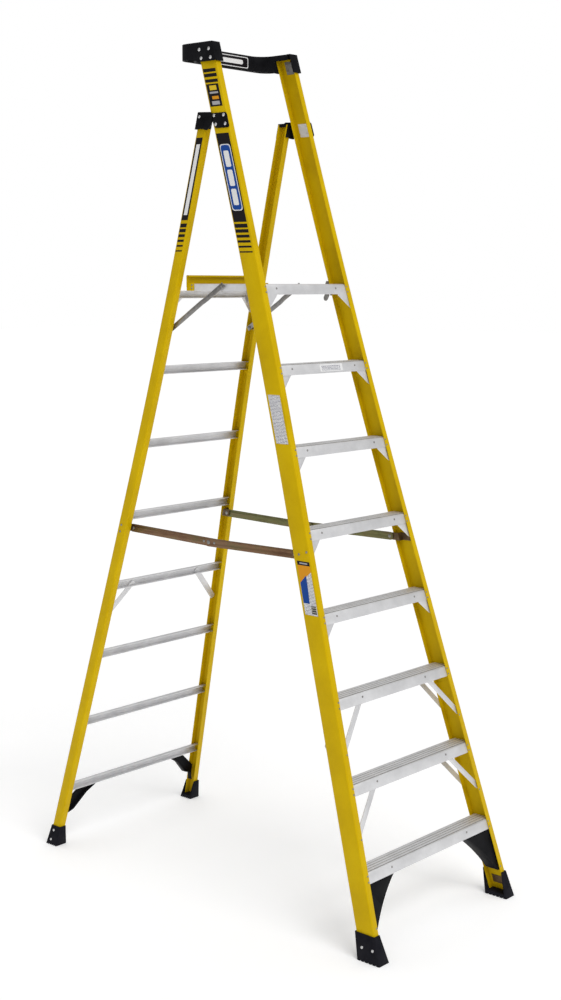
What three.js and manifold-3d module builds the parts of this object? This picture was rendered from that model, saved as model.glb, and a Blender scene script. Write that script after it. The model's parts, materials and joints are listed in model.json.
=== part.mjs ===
// Tall platform step ladder: two flared fibreglass frames hinged near the top,
// seven aluminium steps, a folding platform, folding spreaders and a top guard.
// Millimetres. X runs across the ladder, Y from the climbing side to the back, Z up.
// The feet stand on z = 0 and the origin is the centre of the footprint.
import * as THREE from "three";
import { mergeVertices } from "three/addons/utils/BufferGeometryUtils.js";
import Module from "manifold-3d";

const wasm = await Module();
wasm.setup();

// ---------------------------------------------------------------- driving dimensions

const STEP_PITCH = 304.8;
const STEP_COUNT = 7;
const FIRST_TREAD = STEP_PITCH + 8;

// Side view: the two frames lean towards each other.
const HALF_FOOTPRINT = 922.2;
const FRONT_SLOPE = 0.3002;
const REAR_SLOPE = 0.2478;

// Front view: each frame tapers, and the taper eases off between two heights.
const FRONT_TAPER = { floor: 435.1, lower: 0.0763, upper: 0.0202 };
const REAR_TAPER = { floor: 436.3, lower: 0.0768, upper: 0.0231 };
const BEND_START = 1542;
const BEND_END = 2905;

const FRONT_RAIL = { depth: 84.3, flange: 27.2, bottom: 16, top: 3366 };
const REAR_RAIL = { depth: 48.2, flange: 29.5, bottom: 16, top: 3093 };
const WALL = 3.2;
const RAIL_CORNER = 5;
const FIT = 0.6;

const STEP = { front: 4, back: 80.3, apron: 40.5, skirt: 28, sheet: 2.5 };
const TREAD = { plateaus: 4, height: 2, width: 12, slope: 0.8 };

const RUNG_PITCH = 306.07;
const RUNG_DROP = 28.4;
const RUNG = { web: 4, flange: 28, height: 35, sheet: 2.5 };
const TOP_RUNG = { top: 2418, height: 30.5 };

const PLATFORM_Z = 2446;
const DECK = { front: -101, back: 237, halfWidth: 219, skirt: 28, sheet: 3 };
const DECK_RIDGE = { count: 24, height: 1.2, foot: 1.6, crest: 0.8 };
const DECK_BEAM_TOP = 2446.4;
const TOE_BOARD = { front: 241, back: 256, bottom: 2430, top: 2480, sheet: 2.5, lip: 7 };
const TOE_TAB = { front: 215, bottom: 2418.5, top: 2450 };
const LINK = { deckPin: [53.7, 2437.5], railPin: [335.3, 2260], width: 20, thickness: 4 };
const LINK_INNER = { deck: 228.5, rail: 233.5 };

const HINGE = { y: 86.3, z: 3091, pin: 5 };

const SPREADER = { height: 33, thickness: 3, overlap: 50, hole: 4 };
const SPREADER_PIN = { front: [-390.2, 1432], middle: [69.3, 1426], rear: [515.3, 1435] };
// Side by side from the rail inwards, so that they pass each other as they fold.
const SPREADER_INNER = { frontBracket: 294, frontBar: 290.4, rearBar: 283.2, rearBracket: 279.6 };

const GUARD = {
  top: 3370, blockBottom: 3296, bandBottom: 3311, skin: 4, roof: 3,
  halfWidth: 249.4, bulge: 252, bulgeBack: 100, rear: 268, band: 22, outerRadius: 46, innerRadius: 62,
  frontWall: 5.4, mouth: 205, cheek: 209, rim: 22,
};
// Where the guard's lower edge rises behind the rails.
const GUARD_RISE = { start: 150, end: 205, step: 3 };

// ---------------------------------------------------------------- frame coordinates

const frontFace = (z) => -HALF_FOOTPRINT + FRONT_SLOPE * z;
const rearFace = (z) => HALF_FOOTPRINT - REAR_SLOPE * z;

// Half the width over the rails at a height: straight, then easing, then straight.
function halfWidth(taper, z) {
  const eased = Math.min(Math.max(z - BEND_START, 0), BEND_END - BEND_START);
  const change = (taper.upper - taper.lower) / (BEND_END - BEND_START);
  const below = taper.lower * Math.min(z, BEND_START);
  const above = taper.upper * Math.max(z - BEND_END, 0);
  return taper.floor - below - taper.lower * eased - change * eased * eased / 2 - above;
}

const frontHalf = (z) => halfWidth(FRONT_TAPER, z);
const rearHalf = (z) => halfWidth(REAR_TAPER, z);
const inFrontPlane = (x, d, z) => [x, frontFace(z) + d, z];
const inRearPlane = (x, d, z) => [x, rearFace(z) - d, z];

// u is measured inwards from the outer face of the right-hand rail's web.
const onFrontRail = (u, d, z) => inFrontPlane(frontHalf(z) - u, d, z);
const onRearRail = (u, d, z) => inRearPlane(rearHalf(z) - u, d, z);

// s runs from -1 at the left rail's web to 1 at the right rail's web.
const acrossFront = (s, d, z) => inFrontPlane(s * (frontHalf(z) - WALL - FIT), d, z);
const acrossRear = (s, d, z) => inRearPlane(s * (rearHalf(z) - WALL - FIT), d, z);

const treadTop = (n) => FIRST_TREAD + (n - 1) * STEP_PITCH;
const rungTop = (n) => n * RUNG_PITCH - RUNG_DROP;

// ---------------------------------------------------------------- geometry helpers

// Move every vertex through a function and turn the faces outwards again.
function warp(geometry, place) {
  const spots = geometry.attributes.position;
  for (let i = 0; i < spots.count; i += 1) {
    spots.setXYZ(i, ...place(spots.getX(i), spots.getY(i), spots.getZ(i)));
  }
  return outward(geometry);
}

// A closed indexed shell with shared vertices, its faces pointing out.
function outward(geometry) {
  geometry.deleteAttribute("normal");
  geometry.deleteAttribute("uv");
  const shell = mergeVertices(geometry, 1e-4);
  const index = shell.index.array;
  if (signedVolume(shell) < 0) {
    for (let i = 0; i < index.length; i += 3) {
      [index[i + 1], index[i + 2]] = [index[i + 2], index[i + 1]];
    }
  }
  return shell;
}

function signedVolume(shell) {
  const corner = [new THREE.Vector3(), new THREE.Vector3(), new THREE.Vector3()];
  let total = 0;
  for (let i = 0; i < shell.index.count; i += 3) {
    for (let k = 0; k < 3; k += 1) {
      corner[k].fromBufferAttribute(shell.attributes.position, shell.index.getX(i + k));
    }
    total += corner[0].dot(corner[1].clone().cross(corner[2]));
  }
  return total / 6;
}

const mirrored = (geometry) => warp(geometry.clone(), (x, y, z) => [-x, y, z]);

// Outline points with a radius as third value become short arcs.
function roundCorners(corners, segments = 3) {
  const points = [];
  corners.forEach(([x, y, radius], i) => {
    if (!radius) {
      points.push([x, y]);
      return;
    }
    const here = new THREE.Vector2(x, y);
    const before = corners[(i + corners.length - 1) % corners.length];
    const after = corners[(i + 1) % corners.length];
    const toBefore = new THREE.Vector2(before[0], before[1]).sub(here).normalize();
    const toAfter = new THREE.Vector2(after[0], after[1]).sub(here).normalize();
    const halfAngle = Math.acos(toBefore.dot(toAfter)) / 2;
    const reach = radius / Math.tan(halfAngle);
    const start = here.clone().addScaledVector(toBefore, reach);
    const end = here.clone().addScaledVector(toAfter, reach);
    const inward = toBefore.clone().add(toAfter).normalize();
    const centre = here.clone().addScaledVector(inward, radius / Math.sin(halfAngle));
    const first = start.clone().sub(centre).angle();
    let sweep = end.clone().sub(centre).angle() - first;
    if (sweep > Math.PI) sweep -= 2 * Math.PI;
    if (sweep < -Math.PI) sweep += 2 * Math.PI;
    for (let k = 0; k <= segments; k += 1) {
      const angle = first + sweep * k / segments;
      points.push([centre.x + radius * Math.cos(angle), centre.y + radius * Math.sin(angle)]);
    }
  });
  return points;
}

function circle(x, y, radius, sides = 12) {
  return Array.from({ length: sides }, (_, k) => {
    const angle = 2 * Math.PI * k / sides;
    return [x + radius * Math.cos(angle), y + radius * Math.sin(angle)];
  });
}

function prism(outline, holes, steps) {
  const toVectors = (points) => points.map(([x, y]) => new THREE.Vector2(x, y));
  const shape = new THREE.Shape(toVectors(outline));
  shape.holes = holes.map((hole) => new THREE.Path(toVectors(hole)));
  return new THREE.ExtrudeGeometry(shape, { depth: steps, steps, bevelEnabled: false });
}

// Prisms along each axis. The outline is in the two other axes, in X, Y, Z order.
function alongX(outline, x0, x1, holes = []) {
  return warp(prism(outline, holes, 1), (y, z, t) => [x0 + t * (x1 - x0), y, z]);
}

function alongY(outline, y0, y1, holes = []) {
  return warp(prism(outline, holes, 1), (x, z, t) => [x, y0 + t * (y1 - y0), z]);
}

// The heights may be more than two, where the piece later follows a curve.
function alongZ(outline, heights, holes = []) {
  const geometry = prism(outline, holes, heights.length - 1);
  return warp(geometry, (x, y, t) => [x, y, heights[Math.round(t)]]);
}

const box = (x0, x1, y0, y1, z0, z1) => alongZ([[x0, y0], [x1, y0], [x1, y1], [x0, y1]], [z0, z1]);

function toSolid(shell) {
  const vertProperties = new Float32Array(shell.attributes.position.array);
  const triVerts = new Uint32Array(shell.index.array);
  return new wasm.Manifold(new wasm.Mesh({ numProp: 3, vertProperties, triVerts }));
}

function toShell(manifold) {
  const mesh = manifold.getMesh();
  const shell = new THREE.BufferGeometry();
  shell.setAttribute("position", new THREE.BufferAttribute(new Float32Array(mesh.vertProperties), 3));
  shell.setIndex(new THREE.BufferAttribute(new Uint32Array(mesh.triVerts), 1));
  return shell;
}

const joined = (...shells) => toShell(shells.map(toSolid).reduce((whole, next) => whole.add(next)));

function cutAway(shell, ...tools) {
  return toShell(tools.map(toSolid).reduce((whole, tool) => whole.subtract(tool), toSolid(shell)));
}

// ---------------------------------------------------------------- materials

const finish = (color, roughness, metalness) => ({ color, roughness, metalness });
const YELLOW = finish(0xd9ad08, 0.45, 0.0);
const ALUMINIUM = finish(0xb9bbbd, 0.4, 0.9);
const BLACK = finish(0x1a1b1f, 0.55, 0.0);
const STEEL = finish(0x8d9092, 0.45, 0.9);
const ZINC = finish(0x77704c, 0.4, 0.8);

const ladder = new THREE.Group();

function add(name, geometry, look) {
  const mesh = new THREE.Mesh(geometry, new THREE.MeshStandardMaterial(look));
  mesh.name = name;
  ladder.add(mesh);
}

// The given geometry is the right-hand piece, at +X.
function addPair(name, geometry, look) {
  add(`${name}_right`, geometry, look);
  add(`${name}_left`, mirrored(geometry), look);
}

// ---------------------------------------------------------------- rails

// Channel section: web outwards, flanges inwards. grow thickens every wall outwards.
function channelSection(rail, grow = 0) {
  const near = -grow;
  const far = rail.depth + grow;
  const tip = rail.flange + grow;
  const inner = WALL + grow;
  const corner = RAIL_CORNER;
  return roundCorners([
    [tip, near], [near, near, corner], [near, far, corner], [tip, far],
    [tip, rail.depth - inner], [inner, rail.depth - inner], [inner, inner], [tip, inner],
  ]);
}

function railHeights(rail) {
  const bends = 9;
  const heights = [rail.bottom];
  for (let k = 0; k <= bends; k += 1) {
    heights.push(BEND_START + (BEND_END - BEND_START) * k / bends);
  }
  heights.push(rail.top);
  return heights;
}

addPair("front_rail", warp(alongZ(channelSection(FRONT_RAIL), railHeights(FRONT_RAIL)), onFrontRail), YELLOW);
addPair("rear_rail", warp(alongZ(channelSection(REAR_RAIL), railHeights(REAR_RAIL)), onRearRail), YELLOW);

// ---------------------------------------------------------------- steps and platform beam

// Side section of a step at depth d behind the rails' front face: a tread with flat
// plateaus between grooves, a deep apron in front and a short skirt at the back.
function stepSection(top) {
  const { front, back, apron, skirt, sheet } = STEP;
  const { plateaus, height, width, slope } = TREAD;
  const base = top - height;
  const raised = [];
  const gap = (back - front) / (plateaus + 1);
  for (let k = 1; k <= plateaus; k += 1) {
    const middle = front + gap * k;
    const half = width / 2;
    raised.push([middle - half, base], [middle - half + slope, top]);
    raised.push([middle + half - slope, top], [middle + half, base]);
  }
  return roundCorners([
    [front, top - apron], [front, base, 3], ...raised, [back, base, 3], [back, top - skirt],
    [back - sheet, top - skirt], [back - sheet, base - sheet],
    [front + sheet, base - sheet], [front + sheet, top - apron],
  ]);
}

const crossStep = (top) => warp(alongX(stepSection(top), -1, 1), acrossFront);

for (let n = 1; n <= STEP_COUNT; n += 1) {
  add(`step_${n}`, crossStep(treadTop(n)), ALUMINIUM);
}

// A corner plate under one end of a crosspiece, in the plane of its face.
function cornerPlate(place, sheet, depth, corners) {
  return warp(alongY(corners, depth, depth + sheet), place);
}

const BEAM_GUSSET = { inner: 185, lower: 247, overlap: 8, lip: 4, drop: 57 };

function beamWithGussets() {
  const { inner, lower, overlap, lip, drop } = BEAM_GUSSET;
  const under = DECK_BEAM_TOP - STEP.apron;
  const outer = frontHalf(under) - WALL - FIT - 1;
  const plate = cornerPlate(inFrontPlane, STEP.sheet, STEP.front, [
    [inner, under + overlap], [inner, under - lip], [lower, under - drop],
    [outer, under - drop], [outer, under + overlap],
  ]);
  return joined(crossStep(DECK_BEAM_TOP), plate, mirrored(plate));
}

add("platform_beam", beamWithGussets(), ALUMINIUM);

// Separate gusset plates behind the aprons of the upper steps.
// Depth of the plates and braces that lie behind an apron or a web.
const BEHIND_APRON = 7.1;
const GUSSET = { reach: 52, drop: 50, overlap: 14, lip: 2, slant: 12, clear: 2 };

function stepGusset(n) {
  const { reach, drop, overlap, lip, slant, clear } = GUSSET;
  const under = treadTop(n) - STEP.apron;
  const edge = frontHalf(under) - FRONT_RAIL.flange;
  const outer = edge + FRONT_RAIL.flange - WALL - FIT - clear;
  return cornerPlate(inFrontPlane, STEP.sheet, BEHIND_APRON, roundCorners([
    [edge - reach, under + overlap], [edge - reach, under - lip, 4],
    [edge, under - drop], [outer, under - drop - slant], [outer, under + overlap],
  ], 2));
}

for (let n = 4; n <= STEP_COUNT; n += 1) {
  addPair(`gusset_${n}`, stepGusset(n), ALUMINIUM);
}

// ---------------------------------------------------------------- knee braces

// A flat bar in a frame's plane between two points [x, z], its ends rounded.
function flatBar(place, from, to, width, depth0, depth1) {
  const length = Math.hypot(to[0] - from[0], to[1] - from[1]);
  const along = [(to[0] - from[0]) / length, (to[1] - from[1]) / length];
  const half = width / 2;
  const corner = half * 0.7;
  const corners = roundCorners([
    [0, -half, corner], [length, -half, corner], [length, half, corner], [0, half, corner],
  ]);
  const turned = corners.map(([a, b]) => [
    from[0] + a * along[0] - b * along[1],
    from[1] + a * along[1] + b * along[0],
  ]);
  return warp(alongY(turned, depth0, depth1), place);
}

// Inner end under the step and outer end behind the rail's front flange.
const KNEE_BRACE = {
  2: [[226, 613], [385, 438]],
  3: [[203, 921], [366, 733]],
};
const KNEE = { width: 23, sheet: 3 };

for (const n of [2, 3]) {
  const [inner, outer] = KNEE_BRACE[n];
  const top = treadTop(n) - TREAD.height - STEP.sheet - FIT;
  const upper = [inner[0], Math.min(inner[1], top - KNEE.width / 2)];
  const bar = flatBar(inFrontPlane, upper, outer, KNEE.width, BEHIND_APRON, BEHIND_APRON + KNEE.sheet);
  addPair(`knee_brace_${n}`, bar, ALUMINIUM);
}

// ---------------------------------------------------------------- rear rungs

function rungSection(top, height) {
  const { web, flange, sheet } = RUNG;
  const low = top - height;
  return roundCorners([
    [flange, top], [web, top, 3], [web, low, 3], [flange, low],
    [flange, low + sheet], [web + sheet, low + sheet], [web + sheet, top - sheet], [flange, top - sheet],
  ]);
}

const crossRung = (top, height) => warp(alongX(rungSection(top, height), -1, 1), acrossRear);

const BRACED_RUNG = 4;
const RUNG_BRACE = { inner: [188, 1180], outer: [340, 1024], width: 26, sheet: 3 };

function rungBrace(grow) {
  const { inner, outer, width, sheet } = RUNG_BRACE;
  const back = BEHIND_APRON + sheet;
  return flatBar(inRearPlane, inner, outer, width + 2 * grow, BEHIND_APRON - grow, back + grow);
}

for (let n = 1; n <= STEP_COUNT; n += 1) {
  const rung = crossRung(rungTop(n), RUNG.height);
  const slot = rungBrace(FIT);
  add(`rung_${n}`, n === BRACED_RUNG ? cutAway(rung, slot, mirrored(slot)) : rung, ALUMINIUM);
}
addPair("rung_brace", rungBrace(0), ALUMINIUM);

const TOP_GUSSET = { inner: 180, lower: 241, overlap: 16, lip: 2, bottom: 2327 };
const LINK_GAP = { inner: 218, outer: 270 };

function topRungWithGussets() {
  const { inner, lower, overlap, lip, bottom } = TOP_GUSSET;
  const low = TOP_RUNG.top - TOP_RUNG.height;
  const outer = rearHalf(low) - WALL - FIT - 1;
  const plate = cornerPlate(inRearPlane, RUNG.sheet, RUNG.web, [
    [inner, low + overlap], [inner, low - lip], [lower, bottom], [outer, bottom], [outer, low + overlap],
  ]);
  // Its flanges stop short of the rails, where the platform's links fold past.
  const past = 5;
  const notch = warp(box(
    LINK_GAP.inner, LINK_GAP.outer, RUNG.web + RUNG.sheet, RUNG.flange + past,
    low - past, TOP_RUNG.top + past,
  ), inRearPlane);
  const rung = cutAway(crossRung(TOP_RUNG.top, TOP_RUNG.height), notch, mirrored(notch));
  return joined(rung, plate, mirrored(plate));
}

add("rear_top_rung", topRungWithGussets(), ALUMINIUM);

// ---------------------------------------------------------------- moulded corner braces

// A thin web with a deeper flange along its free edge, drawn in a frame's plane.
function mouldedBrace(place, web, edge, depth, webSheet, flangeDepth) {
  const plate = warp(alongY(web, depth, depth + webSheet), place);
  const rim = warp(alongY(edge, depth, depth + flangeDepth), place);
  return joined(plate, rim);
}

// Points along a quadratic curve.
function curvePoints(from, bend, to, count) {
  const curve = new THREE.QuadraticBezierCurve(
    new THREE.Vector2(...from), new THREE.Vector2(...bend), new THREE.Vector2(...to),
  );
  return curve.getPoints(count).map((point) => [point.x, point.y]);
}

// The same line moved sideways towards the rail, and kept below a height.
function shifted(points, distance, limit) {
  return points.map((point, i) => {
    const before = points[Math.max(i - 1, 0)];
    const after = points[Math.min(i + 1, points.length - 1)];
    const length = Math.hypot(after[0] - before[0], after[1] - before[1]);
    const across = [-(after[1] - before[1]) / length, (after[0] - before[0]) / length];
    return [point[0] + across[0] * distance, Math.min(point[1] + across[1] * distance, limit)];
  });
}

// The free edge is a curve from under the step to the rail.
const FRONT_BRACE = {
  low: 108, clear: 6, start: 236, bend: [328, 208], end: [392, 113], toe: [394, 108],
  rim: 3, sheet: 3, flange: 60,
};

function frontCornerBrace() {
  const { low, clear, start, bend, end, toe, rim: rimWidth, sheet, flange } = FRONT_BRACE;
  const under = FIRST_TREAD - STEP.apron - FIT;
  const outer = frontHalf(under) - WALL - FIT - clear;
  const edge = [...curvePoints([start, under], bend, end, 8), toe];
  const web = [...edge, [outer, low], [outer, under]];
  const rim = [...edge, ...shifted(edge, rimWidth, under).reverse()];
  return mouldedBrace(inFrontPlane, web, rim, BEHIND_APRON, sheet, flange);
}

// A slanting arm, open in the corner between the rung and the rail.
const REAR_BRACE = {
  clear: 3, start: 236, edge: [[283, 214], [346, 148], [388, 133], [402, 93]], low: 93,
  top: 158, elbow: [411, 164], shoulder: 322, rim: 3, sheet: 3.5, flange: 22,
};

function rearCornerBrace() {
  const { clear, start, edge, low, top, elbow, shoulder, rim: rimWidth, sheet, flange } = REAR_BRACE;
  const under = rungTop(1) - RUNG.height - FIT;
  const outer = rearHalf(under) - WALL - FIT - clear;
  const lower = [[start, under], ...edge];
  const web = [...lower, [outer, low], [outer, top], elbow, [shoulder, under]];
  const rim = [...lower, ...shifted(lower, rimWidth, under).reverse()];
  return mouldedBrace(inRearPlane, web, rim, BEHIND_APRON, sheet, flange);
}

addPair("front_corner_brace", frontCornerBrace(), BLACK);
addPair("rear_corner_brace", rearCornerBrace(), BLACK);

// ---------------------------------------------------------------- feet

// A block whose plan changes from bottom to top. Each plan is [u0, u1, d0, d1].
function taperedBlock(bottomPlan, topPlan, z0, z1, round) {
  const unit = roundCorners([[0, 0, round], [1, 0, round], [1, 1, round], [0, 1, round]]);
  return warp(alongZ(unit, [0, 1]), (a, b, t) => {
    const plan = bottomPlan.map((value, i) => value + t * (topPlan[i] - value));
    return [plan[0] + a * (plan[1] - plan[0]), plan[2] + b * (plan[3] - plan[2]), z0 + t * (z1 - z0)];
  });
}

const SOLE_GROOVE = { count: 5, width: 7, depth: 5 };

// A moulded boot: a thick ridged sole and three walls round the rail, open inwards.
function boot(place, rail, { bottom, top, height }) {
  const body = taperedBlock(bottom, top, 0, height, 0.08);
  const room = box(-FIT, 80, -FIT, rail.depth + FIT, rail.bottom - FIT, height + 10);
  const grooves = [];
  const { count, width, depth } = SOLE_GROOVE;
  const span = bottom[3] - bottom[2];
  for (let k = 1; k <= count; k += 1) {
    const d = bottom[2] + span * k / (count + 1);
    grooves.push(box(-30, 80, d - width / 2, d + width / 2, -5, depth));
  }
  return warp(cutAway(body, room, ...grooves), place);
}

const FRONT_BOOT = { bottom: [-10, 52, -9, 96], top: [-4, 29.4, -5, 88.5], height: 99 };
const REAR_BOOT = { bottom: [-10, 51, -9, 60], top: [-4, 31.5, -4, 52.2], height: 87 };

addPair("front_foot", boot(onFrontRail, FRONT_RAIL, FRONT_BOOT), BLACK);
addPair("rear_foot", boot(onRearRail, REAR_RAIL, REAR_BOOT), BLACK);

// ---------------------------------------------------------------- fold hinge

const HINGE_PLATE = { low: 3040, high: 3098, gap: 0.3, sheet: 3, edge: -1, past: 6 };
const hingeDepth = HINGE.y - frontFace(HINGE.z);
const hingeLayer = frontHalf(HINGE_PLATE.low) + HINGE_PLATE.gap + HINGE_PLATE.sheet;

// Plate on the outside of the front rail's web, with the pivot boss on it.
function hingePlate() {
  const { low, high, gap, sheet, edge, past } = HINGE_PLATE;
  const back = hingeDepth + past;
  const corners = roundCorners([
    [edge, low, 8], [hingeDepth - 8, low, 8], [back, HINGE.z - past, 6], [back, high, 8], [edge, high, 8],
  ]);
  const plate = warp(alongX(corners, gap, gap + sheet), (out, d, z) => onFrontRail(-out, d, z));
  const boss = alongX(circle(HINGE.y, HINGE.z, HINGE.pin, 20), hingeLayer - 2, hingeLayer + 6);
  return joined(plate, boss);
}

addPair("hinge_plate", hingePlate(), BLACK);

const HINGE_CAP = {
  gap: 0.4, side: 4, low: 3042, wall: 4, lip: 26, plug: 9,
  // Side outline [y, z, corner radius], from the top rear corner round to the lug.
  outline: [
    [153.5, 3106.5, 5], [163.5, 3048, 5], [107, 3035, 5], [82.5, 3053, 6], [75, 3091, 8], [84, 3102.5, 8],
  ],
};
const CAP_RIB = { count: 6, low: 3047, pitch: 7, height: 2.5, proud: 1.5, margin: 4 };

// The ribs stand out of the cap's outer side, which lies at x = outer.
function capRibs(outer) {
  const { count, low, pitch, height, proud, margin } = CAP_RIB;
  const onSide = (a, d, h) => [outer - 1 + a, rearFace(h) - d, h];
  return Array.from({ length: count }, (_, k) => {
    const z = low + k * pitch;
    return warp(box(0, 1 + proud, margin, REAR_RAIL.depth - margin, z, z + height), onSide);
  });
}

// Moulded cap on the rear rail's top end, with a lug that turns on the boss.
function hingeCap() {
  const { gap, side: sideSheet, low, wall, lip, plug, outline } = HINGE_CAP;
  const inner = hingeLayer + gap;
  const outer = inner + sideSheet;
  const hole = circle(HINGE.y, HINGE.z, HINGE.pin + gap, 20);
  const side = alongX(roundCorners(outline), inner, outer, [hole]);
  const roof = REAR_RAIL.top + FIT;
  const reach = inner + 1 - rearHalf(HINGE.z);
  const depth = REAR_RAIL.depth;
  const cup = warp(box(-reach, lip, -wall, depth + wall, low, roof + wall), onRearRail);
  // The rail's end goes in from below, and a plug fills its channel at the top.
  const room = warp(box(-FIT, 40, -FIT, depth + FIT, low - 10, roof), onRearRail);
  const skin = WALL + FIT;
  const stopper = warp(box(skin, lip, skin, depth - skin, roof - plug, roof + 1), onRearRail);
  return joined(cutAway(cup, room), side, stopper, ...capRibs(outer));
}

addPair("hinge_cap", hingeCap(), BLACK);

// ---------------------------------------------------------------- spreaders

// A flat bar in a side plane between two pivots [y, z], with a hole at each.
function sideBar(from, to, height, x0, x1, beyondFrom, beyondTo, hole) {
  const length = Math.hypot(to[0] - from[0], to[1] - from[1]);
  const along = [(to[0] - from[0]) / length, (to[1] - from[1]) / length];
  const turn = ([a, b]) => [from[0] + a * along[0] - b * along[1], from[1] + a * along[1] + b * along[0]];
  const half = height / 2;
  const corner = half * 0.8;
  const outline = roundCorners([
    [-beyondFrom, -half, corner], [length + beyondTo, -half, corner],
    [length + beyondTo, half, corner], [-beyondFrom, half, corner],
  ], 4);
  const holes = [circle(0, 0, hole), circle(length, 0, hole)];
  return alongX(outline.map(turn), x0, x1, holes.map((points) => points.map(turn)));
}

const halfBar = SPREADER.height / 2;

// Bars and brackets lie parallel to the tapering webs, so they fold along them.
const leaning = (shell, pinZ) => warp(shell, (x, y, z) => [x - FRONT_TAPER.lower * (z - pinZ), y, z]);

function spreaderBar(from, to, inner, beyondFrom, pinZ) {
  const outer = inner + SPREADER.thickness;
  const bar = sideBar(from, to, SPREADER.height, inner, outer, beyondFrom, halfBar, SPREADER.hole);
  return leaning(bar, pinZ);
}

const { front: frontPin, middle: middlePin, rear: rearPin } = SPREADER_PIN;
const { frontBar, rearBar } = SPREADER_INNER;
addPair("spreader_front", spreaderBar(frontPin, middlePin, frontBar, halfBar, frontPin[1]), ZINC);
addPair("spreader_rear", spreaderBar(middlePin, rearPin, rearBar, SPREADER.overlap, rearPin[1]), ZINC);

const BRACKET = { sheet: 3, height: 30, pastPin: 14 };

// A strip bent in plan: a pad on the web, a step inwards, and an arm to the pin.
// Depths run from the rail's outer face towards the pin.
function spreaderBracket(place, web, layer, padStart, padEnd, pinDepth, pinZ) {
  const { sheet, height, pastPin } = BRACKET;
  const padOuter = web - WALL - 0.4;
  const plan = [
    [padOuter, padStart], [padOuter, padEnd + sheet], [layer + sheet, padEnd + sheet],
    [layer + sheet, pinDepth + pastPin], [layer, pinDepth + pastPin],
    [layer, padEnd], [padOuter - sheet, padEnd], [padOuter - sheet, padStart],
  ];
  const strip = alongZ(plan, [pinZ - height / 2, pinZ + height / 2]);
  return warp(leaning(strip, pinZ), place);
}

addPair("spreader_bracket_front", spreaderBracket(
  inFrontPlane, frontHalf(frontPin[1]), SPREADER_INNER.frontBracket,
  22, 58, frontPin[0] - frontFace(frontPin[1]), frontPin[1],
), STEEL);
addPair("spreader_bracket_rear", spreaderBracket(
  inRearPlane, rearHalf(rearPin[1]), SPREADER_INNER.rearBracket,
  7, 26, rearFace(rearPin[1]) - rearPin[0], rearPin[1],
), STEEL);

// ---------------------------------------------------------------- platform

function deck() {
  const { front, back, halfWidth: half, skirt, sheet } = DECK;
  const { count, height, foot, crest } = DECK_RIDGE;
  const base = PLATFORM_Z - height;
  const top = [];
  const gap = (back - front) / (count + 1);
  for (let k = 1; k <= count; k += 1) {
    const y = front + gap * k;
    top.push([y - foot, base], [y - crest, PLATFORM_Z], [y + crest, PLATFORM_Z], [y + foot, base]);
  }
  const section = roundCorners([
    [front, PLATFORM_Z - skirt], [front, base, 3], ...top, [back, base, 3], [back, PLATFORM_Z - skirt],
    [back - sheet, PLATFORM_Z - skirt], [back - sheet, base - sheet],
    [front + sheet, base - sheet], [front + sheet, PLATFORM_Z - skirt],
  ]);
  const plate = alongX(section, -half, half);
  const side = box(half - sheet, half, front + 4, back - 4, PLATFORM_Z - skirt, base - 1);
  return joined(plate, side, mirrored(side));
}

add("platform_deck", deck(), ALUMINIUM);

function toeBoard() {
  const { front, back, bottom, top, sheet, lip } = TOE_BOARD;
  const half = DECK.halfWidth + FIT + sheet;
  const section = roundCorners([
    [front, bottom], [back, bottom, 3], [back, top, 3], [front, top], [front, top - lip],
    [front + sheet, top - lip], [front + sheet, top - sheet], [back - sheet, top - sheet],
    [back - sheet, bottom + sheet], [front, bottom + sheet],
  ]);
  const board = alongX(section, -half, half);
  const tab = box(half - sheet, half, TOE_TAB.front, back - 1, TOE_TAB.bottom, TOE_TAB.top);
  return joined(board, tab, mirrored(tab));
}

add("toe_board", toeBoard(), YELLOW);

// A joggled strip from the deck's side to the rear rail.
function platformLink() {
  const [y0, z0] = LINK.deckPin;
  const [y1, z1] = LINK.railPin;
  const length = Math.hypot(y1 - y0, z1 - z0);
  const along = [(y1 - y0) / length, (z1 - z0) / length];
  const past = LINK.width / 2;
  const joggle = [95, 125];
  const face = [
    [-past, LINK_INNER.deck], [joggle[0], LINK_INNER.deck],
    [joggle[1], LINK_INNER.rail], [length + past, LINK_INNER.rail],
  ];
  const strip = [...face, ...face.map(([a, x]) => [a, x + LINK.thickness]).reverse()];
  return warp(alongZ(strip, [-past, past]), (a, x, b) => [
    x, y0 + a * along[0] - b * along[1], z0 + a * along[1] + b * along[0],
  ]);
}

addPair("platform_link", platformLink(), STEEL);

// ---------------------------------------------------------------- top guard

// Plan outline of the guard, a U open to the front; inset moves every wall inwards.
function guardOutline(inset) {
  const outerX = GUARD.halfWidth - inset;
  const bulgeX = GUARD.bulge - inset;
  const rear = GUARD.rear - inset;
  const innerY = GUARD.rear - GUARD.band + inset;
  const cheekX = GUARD.cheek + inset;
  const front = frontFace(GUARD.top) - 2;
  // The inner wall passes inside the rail's flanges and then turns into the band.
  const right = [
    [GUARD.mouth + inset, front + 8], [cheekX, front + 16 + inset],
    [cheekX, innerY, GUARD.innerRadius - inset],
  ];
  const mirror = ([x, y, r]) => [-x, y, r];
  const outer = [
    [outerX, front + 4], [bulgeX, front + GUARD.bulgeBack], [bulgeX, rear, GUARD.outerRadius - inset],
  ];
  return roundCorners([
    ...right, ...right.map(mirror).reverse(),
    ...outer.map(mirror), ...[...outer].reverse(),
  ], 6);
}

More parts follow.
